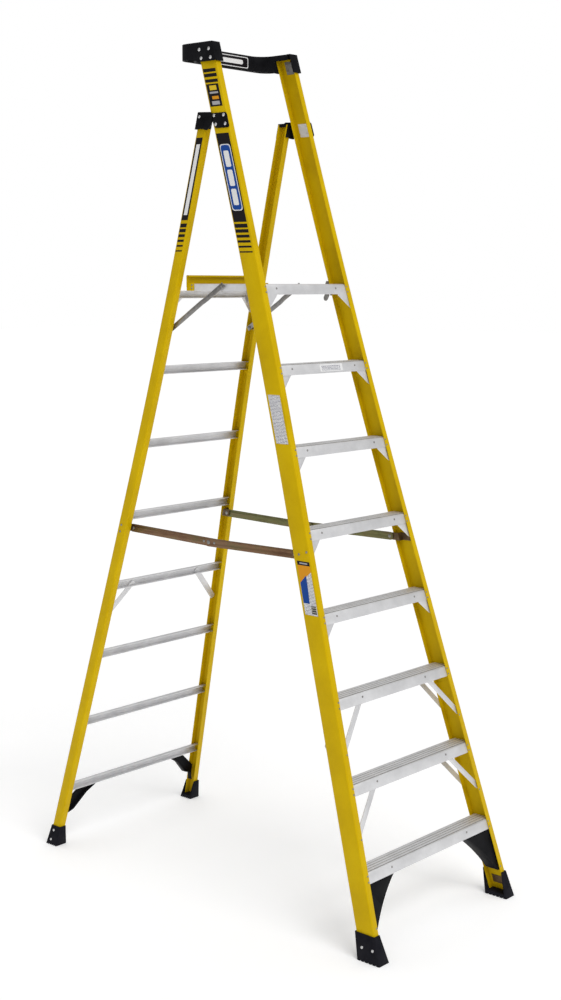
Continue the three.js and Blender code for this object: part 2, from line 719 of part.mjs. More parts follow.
function topGuard() {
  const { top, blockBottom, bandBottom, skin, frontWall, mouth, rim, halfWidth: half } = GUARD;
  const below = blockBottom - 20;
  const beyond = 300;
  const walls = alongZ(guardOutline(0), [blockBottom, top]);
  const hollow = alongZ(guardOutline(skin), [below, top - skin]);
  // Behind the rails the lower edge rises towards the band.
  const { start, end, step } = GUARD_RISE;
  const risingEdge = alongX([
    [start, below], [start, blockBottom], [end, bandBottom - step], [beyond, bandBottom], [beyond, below],
  ], -beyond, beyond);
  // The inner wall is only a rim beside the rails, so that their channels show.
  const u = (x) => frontHalf(top) - x;
  const back = FRONT_RAIL.depth + FIT;
  const opening = warp(box(u(half - skin), u(mouth - 20), 0, back, below, top - rim), onFrontRail);
  const section = channelSection(FRONT_RAIL, FIT);
  const room = warp(alongZ(section, [below, FRONT_RAIL.top + FIT / 2]), onFrontRail);
  // The front wall and the outer wall run down the rail, in line with it.
  const front = -FIT - frontWall;
  const face = warp(box(u(half), u(mouth), front, -FIT, blockBottom, top), onFrontRail);
  const cheek = warp(box(u(half), u(half) + skin, front, 60, blockBottom, top), onFrontRail);
  const roof = warp(box(u(half), u(mouth), front, 12, top - GUARD.roof, top), onFrontRail);
  const pair = (shell) => [shell, mirrored(shell)];
  const shell = cutAway(walls, hollow, risingEdge, ...pair(opening));
  return cutAway(joined(shell, ...pair(face), ...pair(cheek), ...pair(roof)), ...pair(room));
}

add("top_guard", topGuard(), BLACK);

export default ladder;
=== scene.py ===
"""Looks for the platform step ladder: materials, rivets, pins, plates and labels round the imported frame."""

import json
import math

import bmesh
import bpy
from mathutils import Matrix, Vector
from mathutils.bvhtree import BVHTree

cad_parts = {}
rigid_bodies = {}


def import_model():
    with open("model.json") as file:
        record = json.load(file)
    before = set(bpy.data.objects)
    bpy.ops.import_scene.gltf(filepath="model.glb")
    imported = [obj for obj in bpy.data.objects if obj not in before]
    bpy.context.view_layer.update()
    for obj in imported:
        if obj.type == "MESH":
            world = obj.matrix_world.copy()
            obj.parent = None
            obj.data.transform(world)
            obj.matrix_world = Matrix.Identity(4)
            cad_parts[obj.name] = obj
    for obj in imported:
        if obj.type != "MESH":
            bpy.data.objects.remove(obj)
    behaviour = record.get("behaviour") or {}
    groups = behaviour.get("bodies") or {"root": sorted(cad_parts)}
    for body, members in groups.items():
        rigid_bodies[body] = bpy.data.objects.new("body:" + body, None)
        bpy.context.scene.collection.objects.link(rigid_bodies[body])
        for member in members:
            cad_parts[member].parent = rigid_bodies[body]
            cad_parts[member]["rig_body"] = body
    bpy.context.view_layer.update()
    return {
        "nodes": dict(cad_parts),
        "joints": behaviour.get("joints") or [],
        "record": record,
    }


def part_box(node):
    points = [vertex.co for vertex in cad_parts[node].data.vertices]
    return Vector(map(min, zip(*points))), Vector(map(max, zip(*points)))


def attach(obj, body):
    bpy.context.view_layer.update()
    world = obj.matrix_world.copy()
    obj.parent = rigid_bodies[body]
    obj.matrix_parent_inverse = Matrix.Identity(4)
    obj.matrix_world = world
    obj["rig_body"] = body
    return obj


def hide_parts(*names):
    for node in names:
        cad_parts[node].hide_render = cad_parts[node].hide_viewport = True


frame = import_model()
record = frame["record"]
SIDES = {"right": 1.0, "left": -1.0}

# ---------------------------------------------------------------- sizes of the frame, in metres

FRONT_DEPTH = 0.0843
REAR_DEPTH = 0.0482
FRONT_FLANGE = 0.0272

front_low, front_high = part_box("front_rail_right")
rear_low, rear_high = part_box("rear_rail_right")
FRONT_LEAN = (front_high.y - front_low.y - FRONT_DEPTH) / (front_high.z - front_low.z)
REAR_LEAN = (rear_high.y - rear_low.y - REAR_DEPTH) / (rear_high.z - rear_low.z)
JOINTS = {joint["name"]: joint for joint in frame["joints"]}


def front_face(z):
    """Y of the front rails' front face at a height."""
    return front_low.y + FRONT_LEAN * (z - front_low.z)


def rear_face(z):
    """Y of the rear rails' back face at a height."""
    return rear_high.y - REAR_LEAN * (z - rear_low.z)


TREES = {}


def tree(node):
    """Ray-casting tree of a CAD node's mesh."""
    if node not in TREES:
        mesh = frame["nodes"][node].data
        TREES[node] = BVHTree.FromPolygons(
            [vertex.co for vertex in mesh.vertices],
            [polygon.vertices for polygon in mesh.polygons],
        )
    return TREES[node]


def touch(node, start, direction):
    """Where a ray first meets a CAD node, and the surface normal there."""
    point, normal, _, _ = tree(node).ray_cast(Vector(start), Vector(direction).normalized())
    if point is None:
        raise ValueError(f"ray from {tuple(start)} misses {node}")
    if normal.dot(Vector(direction)) > 0:
        normal = -normal
    return point, normal


def web_touch(node, side, y, z):
    """A point on the outer face of something at one side of the ladder."""
    return touch(node, (side * 1.0, y, z), (-side, 0, 0))


def half_width(node, z, depth_y):
    """Half the width over a pair of rails at a height."""
    point, _ = touch(node, (1.0, depth_y, z), (-1, 0, 0))
    return point.x


def front_half(z):
    """Half the width over the front rails at a height."""
    return half_width("front_rail_right", z, front_face(z) + FRONT_DEPTH / 2)


def rear_half(z):
    """Half the width over the rear rails at a height."""
    return half_width("rear_rail_right", z, rear_face(z) - REAR_DEPTH / 2)


# ---------------------------------------------------------------- materials

class Graph:
    """A short way to write a node material."""

    def __init__(self, name):
        self.material = bpy.data.materials.new(name)
        self.material.use_nodes = True
        self.tree = self.material.node_tree
        self.shader = self.tree.nodes["Principled BSDF"]
        self.place = self.tree.nodes.new("ShaderNodeTexCoord").outputs["Object"]

    def node(self, kind, inputs=None, **settings):
        made = self.tree.nodes.new(kind)
        for key, value in settings.items():
            setattr(made, key, value)
        for key, value in (inputs or {}).items():
            if isinstance(value, bpy.types.NodeSocket):
                self.tree.links.new(value, made.inputs[key])
            else:
                made.inputs[key].default_value = value
        return made

    def stretched(self, scale):
        return self.node("ShaderNodeMapping", {"Vector": self.place, "Scale": scale}).outputs["Vector"]

    def noise(self, scale, detail=4.0, rough=0.5, vector=None):
        made = self.node("ShaderNodeTexNoise", {
            "Vector": vector or self.place, "Scale": scale, "Detail": detail, "Roughness": rough,
        })
        return made.outputs["Fac"]

    def ramp(self, factor, stops):
        made = self.node("ShaderNodeValToRGB", {"Fac": factor})
        elements = made.color_ramp.elements
        while len(elements) < len(stops):
            elements.new(0.5)
        for element, (position, colour) in zip(elements, stops):
            element.position = position
            element.color = (*colour, 1.0) if len(colour) == 3 else colour
        return made.outputs["Color"]

    def range(self, factor, low, high):
        made = self.node("ShaderNodeMapRange", {"Value": factor, "To Min": low, "To Max": high})
        return made.outputs["Result"]

    def mix(self, factor, a, b, mode="MIX"):
        made = self.node("ShaderNodeMix", data_type="RGBA", blend_type=mode)
        for socket, value in ((0, factor), (6, a), (7, b)):
            if isinstance(value, bpy.types.NodeSocket):
                self.tree.links.new(value, made.inputs[socket])
            else:
                made.inputs[socket].default_value = value
        return made.outputs[2]

    def math(self, operation, *values):
        return self.node("ShaderNodeMath", dict(enumerate(values)), operation=operation).outputs[0]

    def bump(self, height, strength, distance):
        made = self.node("ShaderNodeBump", {
            "Height": height, "Strength": strength, "Distance": distance,
        })
        self.tree.links.new(made.outputs["Normal"], self.shader.inputs["Normal"])

    def set(self, **inputs):
        for key, value in inputs.items():
            socket = self.shader.inputs[key.replace("_", " ")]
            if isinstance(value, bpy.types.NodeSocket):
                self.tree.links.new(value, socket)
            else:
                socket.default_value = value
        return self.material


def grey(value):
    return (value, value, value)


def fibreglass():
    """Pultruded resin: strong yellow with faint cloudy patches and fibres along the rail."""
    g = Graph("yellow_fibreglass")
    cloud = g.noise(7.0, 5.0, 0.6)
    base = g.ramp(cloud, [
        (0.3, (0.57, 0.375, 0.0)), (0.55, (0.645, 0.435, 0.0)), (0.8, (0.7, 0.49, 0.002)),
    ])
    fibres = g.noise(55.0, 6.0, 0.75, g.stretched((14.0, 14.0, 0.45)))
    streaks = g.ramp(fibres, [(0.35, grey(0.0)), (0.75, grey(0.3))])
    streaked = g.mix(streaks, base, (0.45, 0.28, 0.0, 1.0))
    specks = g.ramp(g.noise(420.0, 2.0), [(0.66, grey(0.0)), (0.76, grey(0.3))])
    speckled = g.mix(specks, streaked, (0.86, 0.68, 0.04, 1.0))
    g.bump(fibres, 0.2, 0.0004)
    return g.set(Base_Color=speckled, Roughness=g.range(cloud, 0.36, 0.52), Specular_IOR_Level=0.07)


def aluminium():
    """Extruded metal with fine die lines across the ladder and a soft bloom."""
    g = Graph("aluminium")
    lines = g.noise(90.0, 5.0, 0.65, g.stretched((0.25, 9.0, 9.0)))
    bloom = g.noise(14.0, 4.0, 0.6)
    base = g.ramp(bloom, [(0.3, (0.68, 0.68, 0.69)), (0.7, (0.815, 0.815, 0.825))])
    lined = g.mix(g.range(lines, 0.0, 0.18), base, (0.5, 0.5, 0.52, 1.0))
    g.bump(lines, 0.12, 0.0002)
    return g.set(Base_Color=lined, Metallic=0.5, Roughness=g.range(lines, 0.4, 0.58))


def moulded(name, dark, light, rough_low, rough_high, grain):
    """Black plastic or rubber with a moulded grain."""
    g = Graph(name)
    patches = g.noise(22.0, 4.0, 0.6)
    pebbles = g.noise(grain, 3.0, 0.6)
    base = g.ramp(patches, [(0.3, dark), (0.75, light)])
    dust = g.ramp(pebbles, [(0.6, grey(0.0)), (0.8, grey(0.25))])
    dusty = g.mix(dust, base, (0.02, 0.02, 0.024, 1.0))
    g.bump(pebbles, 0.3, 0.0003)
    rough = g.range(patches, rough_low, rough_high)
    return g.set(Base_Color=dusty, Roughness=rough, Specular_IOR_Level=0.07)


def zinc_plate():
    """Passivated zinc: brown on one side of the ladder and olive on the other, in soft patches."""
    g = Graph("zinc_steel")
    patches = g.noise(24.0, 6.0, 0.65, g.stretched((1.0, 0.35, 1.0)))
    brown = g.ramp(patches, [
        (0.3, (0.13, 0.06, 0.03)), (0.5, (0.2, 0.11, 0.055)), (0.7, (0.15, 0.12, 0.05)),
    ])
    olive = g.ramp(patches, [
        (0.3, (0.1, 0.085, 0.03)), (0.5, (0.15, 0.15, 0.055)), (0.7, (0.17, 0.11, 0.05)),
    ])
    across = g.node("ShaderNodeSeparateXYZ", {"Vector": g.place}).outputs["X"]
    side = g.math("GREATER_THAN", across, 0.0)
    scratches = g.noise(140.0, 3.0, 0.6, g.stretched((1.0, 0.15, 4.0)))
    g.bump(scratches, 0.15, 0.0002)
    plated = g.mix(side, brown, olive)
    return g.set(Base_Color=plated, Metallic=0.55, Roughness=g.range(scratches, 0.32, 0.5))


def steel():
    """Plated strip with a fine rolled grain."""
    g = Graph("steel")
    spangle = g.noise(60.0, 4.0, 0.6)
    base = g.ramp(spangle, [(0.3, (0.2, 0.195, 0.19)), (0.7, (0.34, 0.33, 0.315))])
    g.bump(g.noise(300.0, 3.0), 0.12, 0.0002)
    return g.set(Base_Color=base, Metallic=0.85, Roughness=g.range(spangle, 0.3, 0.48))


def aged_steel():
    """Strip steel with a brown passivated coat."""
    g = Graph("aged_steel")
    patches = g.noise(45.0, 5.0, 0.6)
    base = g.ramp(patches, [(0.3, (0.075, 0.045, 0.018)), (0.7, (0.16, 0.1, 0.045))])
    g.bump(g.noise(300.0, 3.0), 0.12, 0.0002)
    return g.set(Base_Color=base, Metallic=0.5, Roughness=g.range(patches, 0.4, 0.55))


def painted_groove_shade():
    """Painted shade for the grooves of the treads: dull metal, far darker than the aluminium, standing in for
    the shade in them.
    """
    g = Graph("painted_groove_shade")
    shade_mottle = g.noise(35.0, 5.0, 0.65)
    # Painted shade: dark grey tones, mottled by noise.
    base = g.ramp(shade_mottle, [(0.3, (0.24, 0.235, 0.225)), (0.7, (0.4, 0.39, 0.375))])
    g.bump(shade_mottle, 0.1, 0.0002)
    return g.set(Base_Color=base, Metallic=0.3, Roughness=g.range(shade_mottle, 0.55, 0.75))


def rivet_metal():
    """Bright set rivets with a slightly pitted head."""
    g = Graph("rivet_metal")
    pits = g.noise(500.0, 3.0)
    base = g.ramp(pits, [(0.3, (0.5, 0.5, 0.5)), (0.7, (0.74, 0.74, 0.74))])
    g.bump(pits, 0.15, 0.0002)
    return g.set(Base_Color=base, Metallic=0.9, Roughness=g.range(pits, 0.22, 0.38))


def printed(name, colour, wear=0.12):
    """A vinyl label colour with light scuffing."""
    g = Graph(name)
    scuffs = g.noise(240.0, 4.0, 0.7)
    faded = tuple(min(1.0, channel * 0.85 + 0.015) for channel in colour)
    base = g.mix(g.range(scuffs, 0.0, wear * 2), (*colour, 1.0), (*faded, 1.0))
    g.bump(scuffs, 0.05, 0.0001)
    return g.set(Base_Color=base, Roughness=g.range(scuffs, 0.28, 0.42), Specular_IOR_Level=0.12)


def printed_lines(name, paper, ink, rows_per_metre, share):
    """Generic small print: level rows of broken grey bars, with no lettering."""
    g = Graph(name)
    split = g.node("ShaderNodeSeparateXYZ", {"Vector": g.place}).outputs
    scaled = g.math("MULTIPLY", split["Z"], rows_per_metre)
    saw = g.math("FRACT", scaled)
    row = g.math("LESS_THAN", saw, share)
    breaks = g.noise(520.0, 1.0, 0.5, g.stretched((1.0, 1.0, 0.6)))
    gaps = g.math("GREATER_THAN", breaks, 0.44)
    mask = g.math("MULTIPLY", row, gaps)
    return g.set(Base_Color=g.mix(mask, (*paper, 1.0), (*ink, 1.0)), Roughness=g.range(breaks, 0.3, 0.4))


LOOKS = {
    "yellow_fibreglass": fibreglass(),
    "aluminium": aluminium(),
    "black_plastic": moulded(
        "black_plastic", (0.003, 0.003, 0.004), (0.009, 0.009, 0.011), 0.42, 0.6, 900.0,
    ),
    "foot_rubber": moulded(
        "foot_rubber", (0.005, 0.005, 0.008), (0.014, 0.014, 0.019), 0.5, 0.68, 600.0,
    ),
    "zinc_steel": zinc_plate(),
    "steel": steel(),
    "rivet": rivet_metal(),
    "aged_steel": aged_steel(),
    # Painted shade for the grooves of the treads.
    "painted_groove_shade": painted_groove_shade(),
    "label_black": printed("label_black", (0.008, 0.006, 0.008)),
    "label_white": printed("label_white", (0.8, 0.8, 0.8)),
    "label_blue": printed("label_blue", (0.008, 0.06, 0.3)),
    "label_orange": printed("label_orange", (0.72, 0.3, 0.01)),
    "label_grey": printed("label_grey", (0.4, 0.4, 0.42)),
    "label_yellow": printed("label_yellow", (0.75, 0.52, 0.02)),
    "print_on_white": printed_lines(
        "print_on_white", (0.78, 0.78, 0.78), (0.2, 0.2, 0.26), 190.0, 0.55,
    ),
    "print_on_black": printed_lines(
        "print_on_black", (0.008, 0.006, 0.008), (0.5, 0.48, 0.4), 120.0, 0.45,
    ),
}
SLOT_OF = {entry["node"]: entry["material_slot"] for entry in record["subparts"]}

MERGE_DISTANCE = 1e-6
FLAT_ANGLE = math.radians(0.08)
EDGE_ANGLE = math.radians(38)

# Width of the softened edges, in metres, for each kind of material.
EDGE = {
    "yellow_fibreglass": 0.0006, "aluminium": 0.0004, "black_plastic": 0.0011, "foot_rubber": 0.0013,
    "zinc_steel": 0.0005, "steel": 0.0005,
}


def look_of(node):
    """The spreader brackets have a browner coat than the other steel pieces."""
    return "aged_steel" if "spreader_bracket" in node else SLOT_OF[node]


def dressed(node):
    """Give a CAD node its look, and a copy with softened edges and smooth shading that stands for it."""
    cad_object = frame["nodes"][node]
    look = look_of(node)
    cad_object.data.materials.clear()
    cad_object.data.materials.append(LOOKS[look])
    build = bmesh.new()
    build.from_mesh(cad_object.data)
    bmesh.ops.remove_doubles(build, verts=build.verts, dist=MERGE_DISTANCE)
    bmesh.ops.dissolve_limit(build, angle_limit=FLAT_ANGLE, verts=build.verts, edges=build.edges)
    mesh = bpy.data.meshes.new(f"{node}_dressed")
    build.to_mesh(mesh)
    build.free()
    mesh.materials.clear()
    mesh.materials.append(LOOKS[look])
    piece = bpy.data.objects.new(f"{node}_dressed", mesh)
    bpy.context.scene.collection.objects.link(piece)
    softened = piece.modifiers.new("softened", "BEVEL")
    softened.width = EDGE[SLOT_OF[node]]
    softened.segments = 2
    softened.limit_method = "ANGLE"
    softened.angle_limit = EDGE_ANGLE
    softened.harden_normals = True
    mesh.shade_smooth()
    bpy.context.view_layer.update()
    shaped = piece.evaluated_get(bpy.context.evaluated_depsgraph_get())
    final = bpy.data.meshes.new_from_object(shaped)
    piece.modifiers.clear()
    piece.data = final
    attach(piece, cad_object["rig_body"])
    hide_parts(node)


for node_name in sorted(frame["nodes"]):
    dressed(node_name)

# ---------------------------------------------------------------- mesh pieces


def finish_piece(mesh_build, name, body, look, smooth=False):
    """Turn a bmesh into a piece that rides on a body."""
    bmesh.ops.recalc_face_normals(mesh_build, faces=mesh_build.faces)
    mesh = bpy.data.meshes.new(name)
    mesh_build.to_mesh(mesh)
    mesh_build.free()
    mesh.materials.append(LOOKS[look])
    piece = bpy.data.objects.new(name, mesh)
    bpy.context.scene.collection.objects.link(piece)
    if smooth:
        mesh.shade_smooth()
    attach(piece, body)


def facing(normal):
    """Rotation that turns +Z to a normal."""
    return Vector(normal).to_track_quat("Z", "Y").to_matrix().to_4x4()


def spin_profile(build, centre, normal, profile, sides=16):
    """A closed solid of revolution. The profile runs from axis to axis as (radius, height)."""
    matrix = Matrix.Translation(centre) @ facing(normal)
    rings = []
    for radius, height in profile:
        if radius == 0:
            rings.append([build.verts.new(matrix @ Vector((0, 0, height)))])
            continue
        ring = []
        for k in range(sides):
            angle = 2 * math.pi * k / sides
            spot = Vector((radius * math.cos(angle), radius * math.sin(angle), height))
            ring.append(build.verts.new(matrix @ spot))
        rings.append(ring)
    for lower, upper in zip(rings, rings[1:]):
        for k in range(sides):
            below = (lower[k % len(lower)], lower[(k + 1) % len(lower)])
            above = (upper[(k + 1) % len(upper)], upper[k % len(upper)])
            corners = list(dict.fromkeys(below + above))
            if len(corners) > 2:
                build.faces.new(corners)


RIVET_SINK = 0.0004
RIVET_RISE = 0.0003
WASHER_RISE = 0.0008
DOME_STEPS = 5


def rivet(build, centre, normal, radius, height, washer=0.0):
    """A domed rivet head, its base just inside the surface, with a washer if asked."""
    profile = [(0, -RIVET_SINK), (radius, -RIVET_SINK), (radius, RIVET_RISE)]
    for k in range(1, DOME_STEPS):
        angle = math.pi / 2 * k / DOME_STEPS
        profile.append((radius * math.cos(angle), RIVET_RISE + height * math.sin(angle)))
    profile.append((0, RIVET_RISE + height))
    if washer:
        rim = radius + washer
        base = [(0, -RIVET_SINK), (rim, -RIVET_SINK), (rim, WASHER_RISE), (radius, WASHER_RISE)]
        profile = base + profile[3:]
    spin_profile(build, centre, normal, profile)


def slab(build, outline, offset):
    """A closed plate: a 3-D outline and the same outline moved by an offset."""
    lower = [build.verts.new(Vector(point)) for point in outline]
    upper = [build.verts.new(Vector(point) + Vector(offset)) for point in outline]
    build.faces.new(list(reversed(lower)))
    build.faces.new(upper)
    count = len(outline)
    for k in range(count):
        build.faces.new([lower[k], lower[(k + 1) % count], upper[(k + 1) % count], upper[k]])


# ---------------------------------------------------------------- rivets on the frames

STEP_TOPS = [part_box(f"step_{n}")[1].z for n in range(1, 8)]
BEAM_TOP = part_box("platform_beam")[1].z
# How far outside a frame's face a ray starts.
CLEAR = 0.3
FLANGE_RIVET_INSET = 0.006
FLANGE_RIVET_DROPS = (0.010, 0.031)
KNEE_RIVET_HEIGHTS = (STEP_TOPS[2] - 0.195, STEP_TOPS[1] - 0.188, STEP_TOPS[0] - 0.190)
APRON_RIVET_DROP = 0.017
APRON_RIVET_X = {
    "step_1": 0.243, "step_2": 0.220, "step_3": 0.199, "step_4": 0.243,
    "step_5": 0.225, "step_6": 0.205, "step_7": 0.190, "platform_beam": 0.178,
}
WEB_RIVET_HEIGHT = 0.003
BIG_RIVET = {"radius": 0.0057, "washer": 0.001}
GUARD_RIVETS = ((0.0685, 3.3425), (0.0185, 3.3425), (0.0685, 3.309), (0.0185, 3.309))
RUNG_RIVET_INSET = 0.016
RUNG_RIVET_DROPS = (0.010, 0.025)


def front_point(x, z, node):
    """A point on a front-facing surface of the front frame."""
    return touch(node, (x, front_face(z) - CLEAR, z), (0, 1, 0))


def flange_rivets():
    """Small rivets near the inner edge of the front flanges, at the ends of the steps and braces."""
    inset = FRONT_FLANGE - FLANGE_RIVET_INSET
    for side_name, side in SIDES.items():
        build = bmesh.new()
        heights = [top - drop for top in [*STEP_TOPS, BEAM_TOP] for drop in FLANGE_RIVET_DROPS]
        for z in [*heights, *KNEE_RIVET_HEIGHTS]:
            x = side * (front_half(z) - inset)
            rivet(build, *front_point(x, z, f"front_rail_{side_name}"), radius=0.0036, height=0.0018)
        finish_piece(build, f"flange_rivets_{side_name}", "front_frame", "steel", smooth=True)


def apron_rivets():
    """Rivets through the aprons that hold the braces behind them."""
    build = bmesh.new()
    for node, offset in APRON_RIVET_X.items():
        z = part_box(node)[1].z - APRON_RIVET_DROP
        for side in SIDES.values():
            point, normal = front_point(side * offset, z, node)
            rivet(build, point, normal, radius=0.0042, height=0.0018)
    finish_piece(build, "apron_rivets", "front_frame", "steel", smooth=True)


def web_rivets(name, node, places, face, body, radius=0.0058, washer=0.0, look="rivet"):
    """Rivets on an outer side face, given as (offset along Y from the frame's face, height)."""
    for side_name, side in SIDES.items():
        build = bmesh.new()
        for offset, z in places:
            point, normal = web_touch(f"{node}_{side_name}", side, face(z) + offset, z)
            rivet(build, point, normal, radius, WEB_RIVET_HEIGHT, washer)
        finish_piece(build, f"{name}_{side_name}", body, look, smooth=True)


flange_rivets()
apron_rivets()
web_rivets(
    "hinge_plate_rivets", "hinge_plate", [(0.067, 3.0885), (0.016, 3.0885), (0.067, 3.055), (0.016, 3.055)],
    front_face, "front_frame", **BIG_RIVET,
)
web_rivets(
    "spreader_web_rivets_front", "front_rail", [(0.054, 1.442), (0.014, 1.454)],
    front_face, "front_frame", radius=0.0048, look="steel",
)
web_rivets(
    "spreader_web_rivets_rear", "rear_rail", [(-0.018, 1.449), (-0.018, 1.421)],
    rear_face, "rear_frame", radius=0.0048, look="steel",
)
web_rivets("foot_rivets_front", "front_foot", [(0.0625, 0.050), (0.013, 0.050)], front_face, "front_frame")
web_rivets("foot_rivets_rear", "rear_foot", [(-0.019, 0.067), (-0.017, 0.024)], rear_face, "rear_frame")
web_rivets("cap_rivets", "hinge_cap", [(-0.012, 3.088)], rear_face, "rear_frame", radius=0.006)


def guard_rivets():
    """Four rivets on each outer cheek of the guard."""
    for side_name, side in SIDES.items():
        build = bmesh.new()
        for depth, z in GUARD_RIVETS:
            point, normal = touch("top_guard", (side * 1.0, front_face(z) + depth, z), (-side, 0, 0))
            rivet(build, point, normal, height=0.0028, **BIG_RIVET)
        finish_piece(build, f"guard_rivets_{side_name}", "front_frame", "rivet", smooth=True)


guard_rivets()


def rung_rivets():
    """Rivets through the rear flanges into each rung, seen from behind."""
    for side_name, side in SIDES.items():
        build = bmesh.new()
        rungs = [f"rung_{n}" for n in range(1, 8)] + ["rear_top_rung"]
        for node in rungs:
            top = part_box(node)[1].z
            for drop in RUNG_RIVET_DROPS:
                z = top - drop
                behind = (side * (rear_half(z) - RUNG_RIVET_INSET), rear_face(z) + CLEAR, z)
                point, normal = touch(f"rear_rail_{side_name}", behind, (0, -1, 0))
                rivet(build, point, normal, radius=0.0045, height=0.0022)
        finish_piece(build, f"rung_rivets_{side_name}", "rear_frame", "rivet", smooth=True)


rung_rivets()

# ---------------------------------------------------------------- pins

PIN_HEAD = 0.003
PIN_SIDES = 20


def stud(build, place, outer, inner, radius, outer_head=0.0, inner_head=0.0):
    """A pin along X from outer to inner in |x|, with a domed head where a head radius is given."""
    side = 1.0 if place[0] > 0 else -1.0
    length = outer - inner
    profile = [(0, 0)]
    if outer_head:
        profile = [
            (0, -PIN_HEAD), (outer_head * 0.6, -PIN_HEAD * 0.8),
            (outer_head, -PIN_HEAD * 0.2), (outer_head, 0),
        ]
    profile += [(radius, 0), (radius, length)]
    if inner_head:
        profile += [
            (inner_head, length), (inner_head, length + PIN_HEAD * 0.2),
            (inner_head * 0.6, length + PIN_HEAD * 0.8), (0, length + PIN_HEAD),
        ]
    else:
        profile += [(0, length)]
    spin_profile(build, Vector((side * outer, place[1], place[2])), (-side, 0, 0), profile, PIN_SIDES)


# Layers of the spreader's parts at their pins, as |x| of outer and inner faces.
FRONT_BRACKET = (0.297, 0.294)
FRONT_BAR = (0.2934, 0.2904)
REAR_BAR = (0.2862, 0.2832)
REAR_BRACKET = (0.2826, 0.2796)
PIN_RADIUS = 0.0037
PIN_HEAD_RADIUS = 0.0075
JOINT_RADIUS = 0.0039
JOINT_HEAD_RADIUS = 0.009
STOP_RADIUS = 0.0035
STOP_HEAD_RADIUS = 0.0055
STOP_RIVET_REACH = 0.032
SPACER_RADIUS = 0.0065
SLEEVE_RADIUS = 0.0062
SLEEVE_COLLAR_RADIUS = 0.012
SLEEVE_COLLAR = 0.0038
LINK_SHEET = 0.004
LINK_HEAD_RADIUS = 0.0085
LINK_HEAD_DOME = 0.0062
LINK_HEAD_SHANK = 0.003
LINK_FOOT_SHANK = 0.002
PIN_GAP = 0.0003
PIN_SINK = 0.0005
PIN_LAP = 0.0002

_, deck_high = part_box("platform_deck")
link_low, link_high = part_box("platform_link_right")
DECK_PIN_Y = 0.0537
DECK_PIN_Z = 2.4375
MIDDLE_PIN_Y = 0.0693
MIDDLE_PIN_Z = 1.426


def one_stud(name, body, *sizes, **heads):
    """A single pin as its own piece."""
    build = bmesh.new()
    stud(build, *sizes, **heads)
    finish_piece(build, name, body, "steel")


def spreader_pins(side_name, side):
    """Pins at both ends of a spreader, and the middle pin in two halves, one on each bar."""
    front = JOINTS[f"spreader_front_pivot_{side_name}"]["pos_m"]
    rear = JOINTS[f"spreader_rear_pivot_{side_name}"]["pos_m"]
    both_heads = {"outer_head": PIN_HEAD_RADIUS, "inner_head": PIN_HEAD_RADIUS}
    one_stud(f"spreader_pin_front_{side_name}", "front_frame",
             (side, front[1], front[2]), FRONT_BRACKET[0], FRONT_BAR[1], PIN_RADIUS, **both_heads)
    one_stud(f"spreader_pin_rear_{side_name}", "rear_frame",
             (side, rear[1], rear[2]), REAR_BAR[0], REAR_BRACKET[1], PIN_RADIUS, **both_heads)

    middle = (side, MIDDLE_PIN_Y, MIDDLE_PIN_Z)
    halfway = (FRONT_BAR[1] + REAR_BAR[0]) / 2
    one_stud(f"spreader_joint_front_{side_name}", f"spreader_front_{side_name}",
             middle, FRONT_BAR[0], halfway, JOINT_RADIUS, outer_head=JOINT_HEAD_RADIUS)
    one_stud(f"spreader_joint_rear_{side_name}", f"spreader_rear_{side_name}",
             middle, halfway - PIN_LAP, REAR_BAR[1], JOINT_RADIUS, inner_head=JOINT_HEAD_RADIUS)

    # A stop rivet on each bar beside the middle pin, on the line from pin to pin.
    for bar, end, faces in (("front", front, FRONT_BAR), ("rear", rear, REAR_BAR)):
        along = Vector((0, end[1] - MIDDLE_PIN_Y, end[2] - MIDDLE_PIN_Z)).normalized()
        place = Vector(middle) + along * STOP_RIVET_REACH
        one_stud(f"stop_rivet_{bar}_{side_name}", f"spreader_{bar}_{side_name}",
                 place, faces[0], faces[1], STOP_RADIUS, outer_head=STOP_HEAD_RADIUS)


def link_pins(side_name, side):
    """Spacer and head at a link's upper end, sleeve and head at its lower end."""
    deck_pin = (side, DECK_PIN_Y, DECK_PIN_Z)
    one_stud(f"deck_spacer_{side_name}", "platform",
             deck_pin, link_low.x - PIN_GAP, deck_high.x - PIN_SINK, SPACER_RADIUS)
    outer = link_low.x + LINK_SHEET
    one_stud(f"link_head_{side_name}", f"platform_link_{side_name}",
             deck_pin, outer, outer - LINK_HEAD_SHANK, LINK_HEAD_RADIUS, outer_head=LINK_HEAD_DOME)

    joint = JOINTS[f"platform_link_pivot_{side_name}"]["pos_m"]
    rail_pin = (side, joint[1], joint[2])
    inside = (side * 0.22, joint[1], joint[2])
    web, _ = touch(f"rear_rail_{side_name}", inside, (side, 0, 0))
    web_x = abs(web.x) - PIN_LAP
    build = bmesh.new()
    stud(build, rail_pin, web_x, link_high.x + PIN_GAP, SLEEVE_RADIUS)
    stud(build, rail_pin, web_x, web_x - SLEEVE_COLLAR, SLEEVE_COLLAR_RADIUS)
    finish_piece(build, f"link_sleeve_{side_name}", "rear_frame", "steel")
    foot = link_high.x - LINK_SHEET
    one_stud(f"link_foot_head_{side_name}", f"platform_link_{side_name}",
             rail_pin, foot - PIN_SINK, foot - LINK_FOOT_SHANK, PIN_HEAD_RADIUS,
             inner_head=PIN_HEAD_RADIUS)


for side_name, side in SIDES.items():
    spreader_pins(side_name, side)
    link_pins(side_name, side)

# ---------------------------------------------------------------- plates and braces

PLATE_GAP = 0.0003
PLATE_SHEET = 0.0015
PLATE_RIVET_INSET_Z = 0.012
PLATE_RIVET_INSET_Y = 0.009


